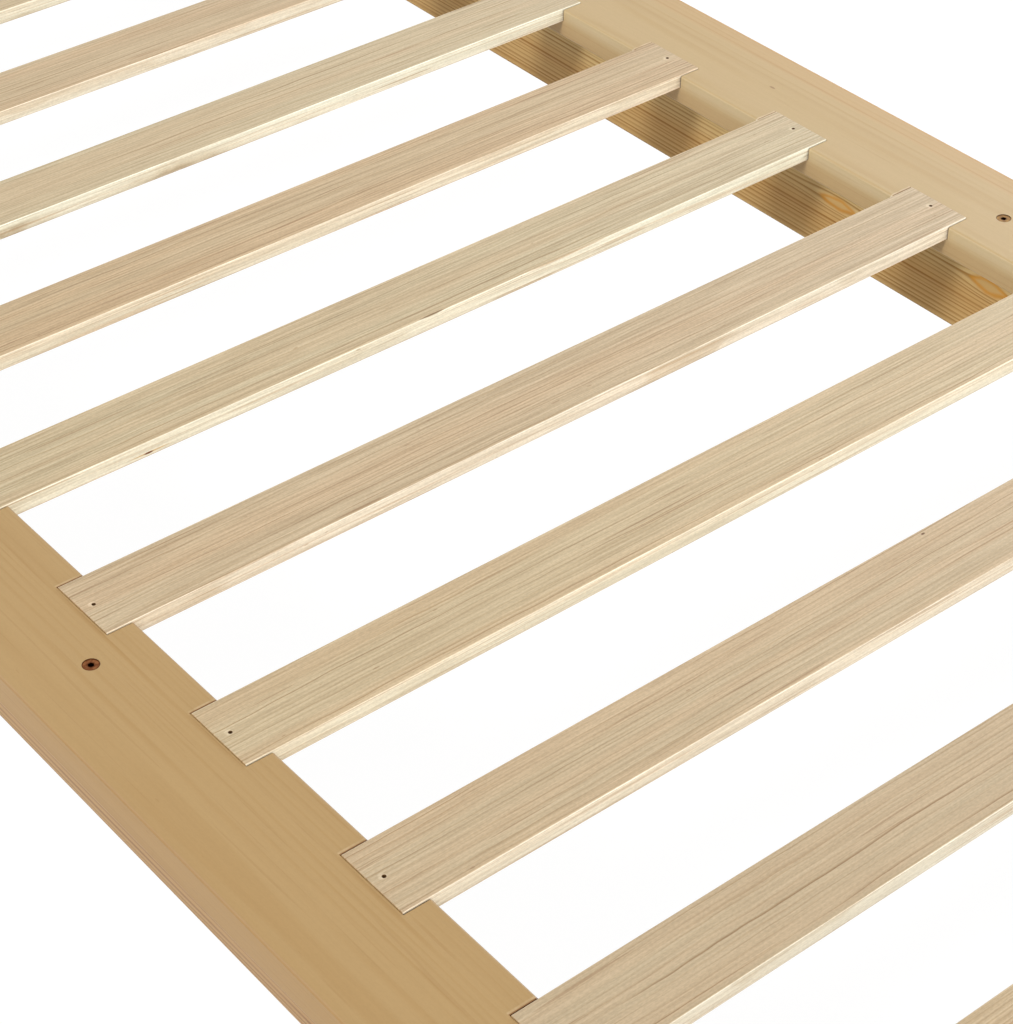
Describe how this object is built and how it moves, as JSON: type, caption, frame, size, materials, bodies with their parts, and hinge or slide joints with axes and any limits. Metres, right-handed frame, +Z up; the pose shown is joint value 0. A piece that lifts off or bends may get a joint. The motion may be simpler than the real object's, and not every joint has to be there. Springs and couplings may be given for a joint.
{
  "type": "slatted single bed base",
  "caption": "Low child's single bed base in solid pine: flat planks with slats let in flush, rails and short legs below, joined by knock-down bolts.",
  "frame": {"origin": "on the floor, under the middle of the bed", "axes": "+X across the bed, +Y along it towards its head, +Z up"},
  "size_m": [0.949, 2.0226, 0.201],
  "materials": {
    "pine_frame": "clear-lacquered planed pine, smooth, low sheen",
    "pine_slat": "bare planed pine, straight grain, matt",
    "bronze_steel": "dark bronze plated, satin",
    "zinc_steel": "zinc plated",
    "beech_dowel": "bare fluted beech",
    "glide_plastic": "moulded brown plastic, matt"
  },
  "bodies": {
    "root": {"side_plank_left": "pine_frame", "side_plank_right": "pine_frame", "head_plank": "pine_frame", "foot_plank": "pine_frame", "side_rail_left": "pine_frame", "side_rail_right": "pine_frame", "head_rail": "pine_frame", "foot_rail": "pine_frame", "leg_head_left": "pine_frame", "leg_head_right": "pine_frame", "leg_foot_left": "pine_frame", "leg_foot_right": "pine_frame", "slat_01": "pine_slat", "slat_02": "pine_slat", "slat_03": "pine_slat", "slat_04": "pine_slat", "slat_05": "pine_slat", "slat_06": "pine_slat", "slat_07": "pine_slat", "slat_08": "pine_slat", "slat_09": "pine_slat", "slat_10": "pine_slat", "slat_11": "pine_slat", "slat_pins": "zinc_steel", "plank_bolts": "bronze_steel", "threaded_inserts": "zinc_steel", "bed_bolts": "bronze_steel", "barrel_nuts": "zinc_steel", "rail_dowels": "beech_dowel", "plank_dowels": "beech_dowel", "floor_glides": "glide_plastic"}
  },
  "joints": []
}
